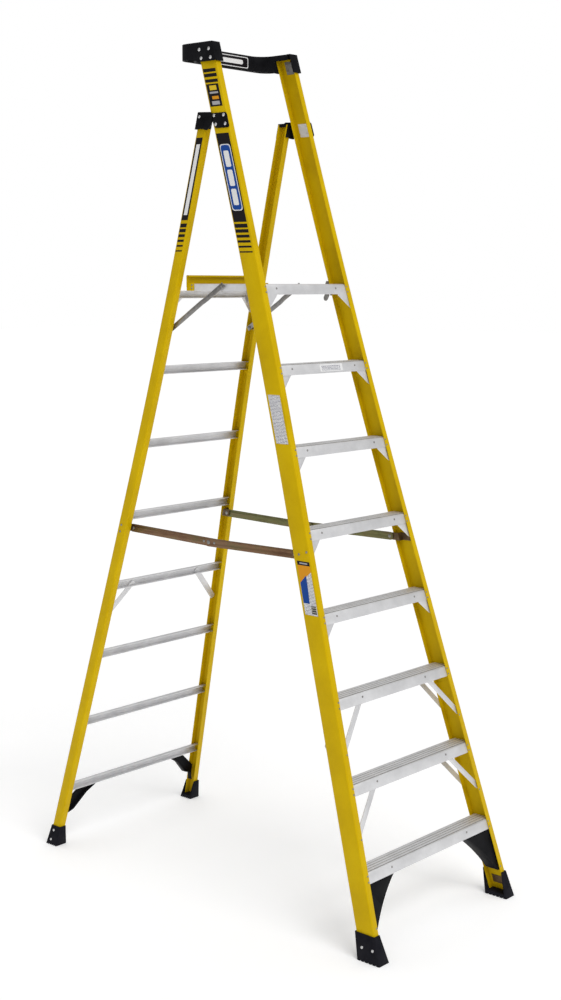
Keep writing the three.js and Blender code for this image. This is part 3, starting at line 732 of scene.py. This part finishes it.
def inner_plate(name, side_name, heights, depths, look):
    """A riveted plate on the inner face of a front rail's web, between two heights and two depths."""
    side = SIDES[side_name]

    def spot(z, depth):
        start = (side * 0.1, front_face(z) + depth, z)
        return touch(f"front_rail_{side_name}", start, (side, 0, 0))

    low, high = heights
    near, far = depths
    outline = []
    for z, depth in ((low, near), (low, far), (high, far), (high, near)):
        point, normal = spot(z, depth)
        outline.append(point + normal * PLATE_GAP)
    build = bmesh.new()
    slab(build, outline, normal * PLATE_SHEET)
    for z in (low + PLATE_RIVET_INSET_Z, high - PLATE_RIVET_INSET_Z):
        for depth in (near + PLATE_RIVET_INSET_Y, far - PLATE_RIVET_INSET_Y):
            point, normal = spot(z, depth)
            head = point + normal * (PLATE_GAP + PLATE_SHEET)
            rivet(build, head, normal, radius=0.0035, height=0.002)
    finish_piece(build, name, "front_frame", look)


KNEE_WIDTH = 0.023
KNEE_SHEET = 0.0028
KNEE_BEHIND = 0.0003
END_STEPS = 6


def flat_brace(name, from_xz, to_xz):
    """A pair of flat bars with rounded ends behind the front rails."""
    build = bmesh.new()
    start, end = Vector(from_xz), Vector(to_xz)
    along = (end - start).normalized()
    across = Vector((-along.y, along.x))
    half = KNEE_WIDTH / 2
    outline = []
    for centre, turn in ((end, 0), (start, math.pi)):
        for k in range(END_STEPS + 1):
            angle = turn - math.pi / 2 + math.pi * k / END_STEPS
            spot = centre + along * (half * 0.6 * math.cos(angle)) + across * (half * math.sin(angle))
            outline.append(spot)
    depth = FRONT_DEPTH + KNEE_BEHIND
    for side in SIDES.values():
        near = [Vector((side * spot.x, front_face(spot.y) + depth, spot.y)) for spot in outline]
        slab(build, near, (0, KNEE_SHEET, 0))
    finish_piece(build, name, "front_frame", "aluminium")


for side_name in SIDES:
    inner_plate(f"guard_backing_{side_name}", side_name, (3.294, 3.345), (0.012, 0.060), "steel")
    inner_plate(f"hinge_backing_{side_name}", side_name, (3.040, 3.093), (0.020, 0.066), "aluminium")
    inner_plate(f"foot_backing_{side_name}", side_name, (0.040, 0.071), (0.008, 0.070), "aged_steel")

# The knee braces run from under a step to the rear flange, between (x, z) ends.
flat_brace("rear_knee_brace_2", (0.238, 0.596), (0.386, 0.439))
flat_brace("rear_knee_brace_3", (0.224, 0.899), (0.3675, 0.740))

TREAD_HEIGHT = 0.002
GROOVE_SCAN = 0.0004
GROOVE_WIDTH = 0.0034
GROOVE_BELOW = 0.0002
STEP_END = 0.004


def dips(node):
    """Where a tread lies below its plateaus, as (front, back) in Y, from front to back."""
    low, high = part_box(node)
    spans = []
    for k in range(1, round((high.y - low.y) / GROOVE_SCAN)):
        y = low.y + k * GROOVE_SCAN
        point, _ = touch(node, (0, y, high.z + 0.01), (0, 0, -1))
        if abs(high.z - point.z - TREAD_HEIGHT) > TREAD_HEIGHT / 4:
            continue
        if spans and y - spans[-1][1] < GROOVE_SCAN * 1.5:
            spans[-1][1] = y
        else:
            spans.append([y, y])
    return spans


def tread_groove_shade():
    """Strips of painted shade in the grooves between a tread's plateaus, and along the front of the first."""
    build = bmesh.new()
    for n in range(1, 8):
        _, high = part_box(f"step_{n}")
        front_edge, *between = dips(f"step_{n}")[:-1]
        middles = [(front + back) / 2 for front, back in between]
        middles.append(front_edge[1] - GROOVE_WIDTH / 2)
        end = high.x - STEP_END
        bottom = high.z - TREAD_HEIGHT
        # Each strip is a dark sheet of painted shade, lying just under the plateaus' tops.
        for y in middles:
            near, far = y - GROOVE_WIDTH / 2, y + GROOVE_WIDTH / 2
            outline = [(-end, near, bottom), (end, near, bottom), (end, far, bottom), (-end, far, bottom)]
            slab(build, outline, (0, 0, TREAD_HEIGHT - GROOVE_BELOW))
    finish_piece(build, "tread_groove_shade", "front_frame", "painted_groove_shade")


tread_groove_shade()

BRACKET_OFF_DECK = 0.0145
BRACKET_SHEET = 0.0025
BRACKET_GAP = 0.0004
DECK_PIN_RADIUS = 0.004
DECK_PIN_REACH = 0.0025
BRACKET_PAD_X = 0.256
BRACKET_PAD_HEIGHTS = (2.400, 2.446)
BRACKET_OUTLINE = [
    (-0.1085, 2.400), (-0.1000, 2.384), (-0.0930, 2.378), (-0.0855, 2.379), (-0.0800, 2.385),
    (-0.0795, 2.393), (-0.0850, 2.402), (-0.0840, 2.440), (-0.0930, 2.4585), (-0.1020, 2.4585),
    (-0.1085, 2.446),
]
DECK_HINGE = JOINTS["platform_tilt"]["pos_m"]


def deck_brackets():
    """Steel plates behind the front rails that carry the deck's hinge, with a rounded rest below."""
    inner = deck_high.x + BRACKET_OFF_DECK
    low, high = BRACKET_PAD_HEIGHTS
    for side_name, side in SIDES.items():
        build = bmesh.new()
        plate = [Vector((side * inner, y, z)) for y, z in BRACKET_OUTLINE]
        slab(build, plate, (side * BRACKET_SHEET, 0, 0))
        pad = []
        for x, z in ((inner, low), (BRACKET_PAD_X, low), (BRACKET_PAD_X, high), (inner, high)):
            pad.append(Vector((side * x, front_face(z) + FRONT_DEPTH + BRACKET_GAP, z)))
        slab(build, pad, (0, BRACKET_SHEET, 0))
        stud(build, (side, DECK_HINGE[1], DECK_HINGE[2]), inner + BRACKET_SHEET,
             deck_high.x - DECK_PIN_REACH, DECK_PIN_RADIUS, outer_head=PIN_HEAD_RADIUS)
        finish_piece(build, f"deck_bracket_{side_name}", "front_frame", "steel")


deck_brackets()


TAB_RIVET_Y = 0.2255
TAB_RIVET_HEIGHTS = (2.428, 2.441)
BACK_RIVETS = 5


def toe_board_rivets():
    """Rivets in the toe board's end tabs, and a row along its back."""
    low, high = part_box("toe_board")
    middle = (low.z + high.z) / 2
    build = bmesh.new()
    for side in SIDES.values():
        for z in TAB_RIVET_HEIGHTS:
            point, normal = touch("toe_board", (side * CLEAR, TAB_RIVET_Y, z), (-side, 0, 0))
            rivet(build, point, normal, radius=0.0035, height=0.002)
    for k in range(BACK_RIVETS):
        x = low.x + (high.x - low.x) * (k + 1) / (BACK_RIVETS + 1)
        point, normal = touch("toe_board", (x, high.y + CLEAR, middle), (0, -1, 0))
        rivet(build, point, normal, radius=0.004, height=0.002)
    finish_piece(build, "toe_board_rivets", "platform", "steel", smooth=True)


toe_board_rivets()

# ---------------------------------------------------------------- labels

LABEL_THICKNESS = 0.0002
LAYER_LIFT = 0.0003
FRONT_LABEL = (0.011, 0.078)
REAR_LABEL = (0.006, 0.041)


def label(name, body, look, rows, spot, layer=1):
    """A thin closed label. Rows are (along, near, far), and spot gives a surface point and normal."""
    lift = LAYER_LIFT * layer
    build = bmesh.new()
    layers = []
    for height in (lift - LABEL_THICKNESS, lift):
        grid = []
        for along, near, far in rows:
            line = []
            for across in (near, (near + far) / 2, far):
                point, normal = spot(along, across)
                line.append(build.verts.new(point + normal * height))
            grid.append(line)
        layers.append(grid)
    below, above = layers
    last = len(rows) - 1
    for i in range(last):
        for j in range(2):
            build.faces.new([above[i][j], above[i][j + 1], above[i + 1][j + 1], above[i + 1][j]])
            build.faces.new([below[i][j], below[i + 1][j], below[i + 1][j + 1], below[i][j + 1]])
        for j in (0, 2):
            build.faces.new([above[i][j], above[i + 1][j], below[i + 1][j], below[i][j]])
    for i in (0, last):
        for j in range(2):
            build.faces.new([above[i][j], above[i][j + 1], below[i][j + 1], below[i][j]])
    finish_piece(build, name, body, look)


def web_label(name, side_name, family, rows, look, layer=1):
    """A label on the outside of a rail's web. Rows are (height, depth, depth)."""
    face = front_face if family == "front" else rear_face
    sign = 1.0 if family == "front" else -1.0

    def spot(z, depth):
        return web_touch(f"{family}_rail_{side_name}", SIDES[side_name], face(z) + sign * depth, z)

    label(f"{name}_{side_name}", f"{family}_frame", look, rows, spot, layer)


def level_rows(low, high, near, far, pitch=0.06):
    """Rows of a plain rectangle, close enough together to follow the surface."""
    count = max(1, round((high - low) / pitch))
    return [(low + (high - low) * k / count, near, far) for k in range(count + 1)]


def rounded_rows(low, high, near, far, radius, count=5):
    """Rows of a rectangle with rounded corners."""
    rows = []
    for k in range(count + 1):
        angle = math.pi / 2 * k / count
        inset = radius * (1 - math.sin(angle))
        rows.append((low + radius * (1 - math.cos(angle)), near + inset, far - inset))
    middle = level_rows(low + radius, high - radius, near, far)[1:-1]
    top = [(low + high - z, a, b) for z, a, b in reversed(rows)]
    return rows + middle + top


def fading_stripes(name, side_name, family, high, near, far):
    """Six black stripes that get thinner towards the floor."""
    pitch = 0.0208
    thickest = 0.0148
    thinner = 0.13
    for k in range(6):
        top = high - k * pitch
        rows = level_rows(top - thickest * (1 - k * thinner), top, near, far)
        web_label(f"{name}_{k}", side_name, family, rows, "label_black")


def rating_labels(side_name):
    """Three stripes and a black panel with four plain blocks, below the guard."""
    for k, (low, high) in enumerate(((3.255, 3.268), (3.236, 3.249), (3.215, 3.227))):
        web_label(f"top_stripe_{k}", side_name, "front", level_rows(low, high, *FRONT_LABEL), "label_black")
    web_label("rating_label", side_name, "front", level_rows(3.123, 3.209, 0.013, 0.077), "label_black")
    blocks = (
        (3.185, 3.203, 0.026, 0.062, "label_yellow"),
        (3.172, 3.179, 0.022, 0.066, "label_grey"),
        (3.150, 3.162, 0.024, 0.058, "label_orange"),
        (3.129, 3.143, 0.024, 0.064, "label_grey"),
    )
    for k, (low, high, near, far, look) in enumerate(blocks):
        rows = level_rows(low, high, near, far)
        web_label(f"rating_block_{k}", side_name, "front", rows, look, layer=2)


def long_labels(side_name):
    """A black panel with a blue rounded field and three white bars, and stripes under it."""
    web_label("long_label", side_name, "front", level_rows(2.681, 3.020, *FRONT_LABEL), "label_black")
    for inset, look, layer in ((0.0, "label_white", 2), (0.0035, "label_blue", 3)):
        rows = rounded_rows(2.724 + inset, 2.978 - inset, 0.017 + inset, 0.072 - inset, 0.012)
        web_label(f"panel_{look[6:]}", side_name, "front", rows, look, layer)
    for k in range(3):
        low = 2.745 + k * 0.073
        rows = rounded_rows(low, low + 0.062, 0.031, 0.058, 0.006)
        web_label(f"panel_block_{k}", side_name, "front", rows, "label_white", layer=4)
    fading_stripes("fade_stripe", side_name, "front", 2.674, *FRONT_LABEL)


def notice_and_size_labels(side_name):
    """The white notice, and the lower label with its black, orange, white and blue fields."""
    header = level_rows(1.403, 1.418, 0.009, 0.070)
    header_bar = level_rows(1.408, 1.413, 0.020, 0.058)
    band = level_rows(1.336, 1.403, 0.009, 0.070)
    body = [(1.222, 0.009, 0.071), (1.280, 0.009, 0.071), (1.336, 0.009, 0.0705), (1.381, 0.009, 0.0095)]
    block = [(1.264, 0.040, 0.070), (1.300, 0.038, 0.070), (1.338, 0.036, 0.0695), (1.366, 0.0355, 0.037)]
    code = level_rows(1.229, 1.257, 0.012, 0.036)
    for name, rows, look, layer in (
        ("notice_label", level_rows(1.848, 2.030, 0.012, 0.072), "print_on_white", 1),
        ("size_header", header, "label_black", 1),
        ("size_header_bar", header_bar, "label_grey", 2),
        ("size_band", band, "label_orange", 1),
        ("size_body", body, "print_on_white", 2),
        ("size_block", block, "label_blue", 3),
        ("size_code", code, "print_on_black", 3),
    ):
        web_label(name, side_name, "front", rows, look, layer)


def rear_rail_labels(side_name):
    """A black panel with a white bar, and stripes under it."""
    web_label("rear_label", side_name, "rear", level_rows(2.695, 3.010, *REAR_LABEL), "label_black")
    rows = level_rows(2.715, 2.985, 0.014, 0.033)
    web_label("rear_print", side_name, "rear", rows, "label_white", layer=2)
    fading_stripes("rear_stripe", side_name, "rear", 2.682, *REAR_LABEL)


def guard_label():
    """A plain white frame and bar on the guard's front-facing inner face."""
    def spot(x, z):
        return touch("top_guard", (x, 0.15, z), (0, 1, 0))

    for layer, (name, x, low, high, look) in enumerate((
        ("guard_frame", 0.132, 3.318, 3.362, "label_white"),
        ("guard_field", 0.128, 3.321, 3.359, "label_black"),
        ("guard_bar", 0.100, 3.331, 3.349, "label_white"),
    ), start=1):
        label(name, "front_frame", look, rounded_rows(-x, x, low, high, 0.008), spot, layer)


def apron_label():
    """A small white label with rows of broken bars on step 7."""
    def spot(x, z):
        return front_point(x, z, "step_7")

    top = STEP_TOPS[6]
    paper = level_rows(-0.026, 0.112, top - 0.034, top - 0.006)
    small_print = level_rows(-0.016, 0.098, top - 0.030, top - 0.010)
    label("apron_label", "front_frame", "label_white", paper, spot)
    label("apron_print", "front_frame", "print_on_white", small_print, spot, layer=2)


for side_name in SIDES:
    rating_labels(side_name)
    long_labels(side_name)
    notice_and_size_labels(side_name)
    rear_rail_labels(side_name)
guard_label()
apron_label()

# ---------------------------------------------------------------- floor, light and camera

CAMERA_PLACE = Vector((-4.58506, -4.12218, 2.45211))
CAMERA_YAW = -0.84504
CAMERA_PITCH = -0.141776
CAMERA_ROLL = 0.00243
FOCAL_LENGTH = 54.87
SENSOR_WIDTH = 36
FLOOR_HALF = 60
FLOOR_BELOW = 0.0005
WORLD_LIGHT = 0.42


def camera():
    """The main view, from the front left and at about the height of the platform."""
    forward = Vector((
        -math.sin(CAMERA_YAW) * math.cos(CAMERA_PITCH),
        math.cos(CAMERA_YAW) * math.cos(CAMERA_PITCH),
        math.sin(CAMERA_PITCH),
    ))
    level = Vector((math.cos(CAMERA_YAW), math.sin(CAMERA_YAW), 0))
    upright = level.cross(forward)
    right = level * math.cos(CAMERA_ROLL) + upright * math.sin(CAMERA_ROLL)
    up = upright * math.cos(CAMERA_ROLL) - level * math.sin(CAMERA_ROLL)
    turn = Matrix((right, up, -forward)).transposed().to_4x4()
    data = bpy.data.cameras.new("camera")
    data.lens = FOCAL_LENGTH
    data.sensor_width = SENSOR_WIDTH
    data.sensor_fit = "AUTO"
    data.clip_end = 100
    seen = bpy.data.objects.new("camera", data)
    bpy.context.scene.collection.objects.link(seen)
    seen.matrix_world = Matrix.Translation(CAMERA_PLACE) @ turn
    bpy.context.scene.camera = seen


def floor():
    """A wide pale ground just under the feet."""
    build = bmesh.new()
    bmesh.ops.create_grid(build, x_segments=1, y_segments=1, size=FLOOR_HALF)
    mesh = bpy.data.meshes.new("floor")
    build.to_mesh(mesh)
    build.free()
    g = Graph("floor")
    cloud = g.noise(0.6, 2.0)
    pale = g.ramp(cloud, [(0.3, grey(0.93)), (0.7, grey(0.95))])
    mesh.materials.append(g.set(
        Base_Color=pale, Roughness=0.9, Specular_IOR_Level=0.0, Emission_Color=pale, Emission_Strength=0.2,
    ))
    plane = bpy.data.objects.new("floor", mesh)
    bpy.context.scene.collection.objects.link(plane)
    plane.location.z = -FLOOR_BELOW


def sun(name, towards, strength, degrees):
    """A broad, soft distant light. It stands in the direction given, seen from the object."""
    data = bpy.data.lights.new(name, "SUN")
    data.energy = strength
    data.angle = math.radians(degrees)
    light = bpy.data.objects.new(name, data)
    bpy.context.scene.collection.objects.link(light)
    light.rotation_euler = Vector(towards).to_track_quat("Z", "Y").to_euler()


def studio():
    """White surroundings, seen as pure white and lighting the object more gently."""
    world = bpy.data.worlds.new("studio")
    world.use_nodes = True
    nodes = world.node_tree.nodes
    links = world.node_tree.links
    seen = nodes.new("ShaderNodeBackground")
    seen.inputs["Strength"].default_value = 1.0
    seen.inputs["Color"].default_value = (1, 1, 1, 1)
    shining = nodes["Background"]
    shining.inputs["Color"].default_value = (1, 1, 1, 1)
    shining.inputs["Strength"].default_value = WORLD_LIGHT
    path = nodes.new("ShaderNodeLightPath")
    blend = nodes.new("ShaderNodeMixShader")
    links.new(path.outputs["Is Camera Ray"], blend.inputs[0])
    links.new(shining.outputs[0], blend.inputs[1])
    links.new(seen.outputs[0], blend.inputs[2])
    links.new(blend.outputs[0], nodes["World Output"].inputs["Surface"])
    bpy.context.scene.world = world
    bpy.context.scene.view_settings.view_transform = "Standard"
    sun("key", towards=(-0.25, -0.85, 0.9), strength=1.45, degrees=40)
    sun("top", towards=(0.15, 0.2, 1.0), strength=0.5, degrees=60)


camera()
floor()
studio()
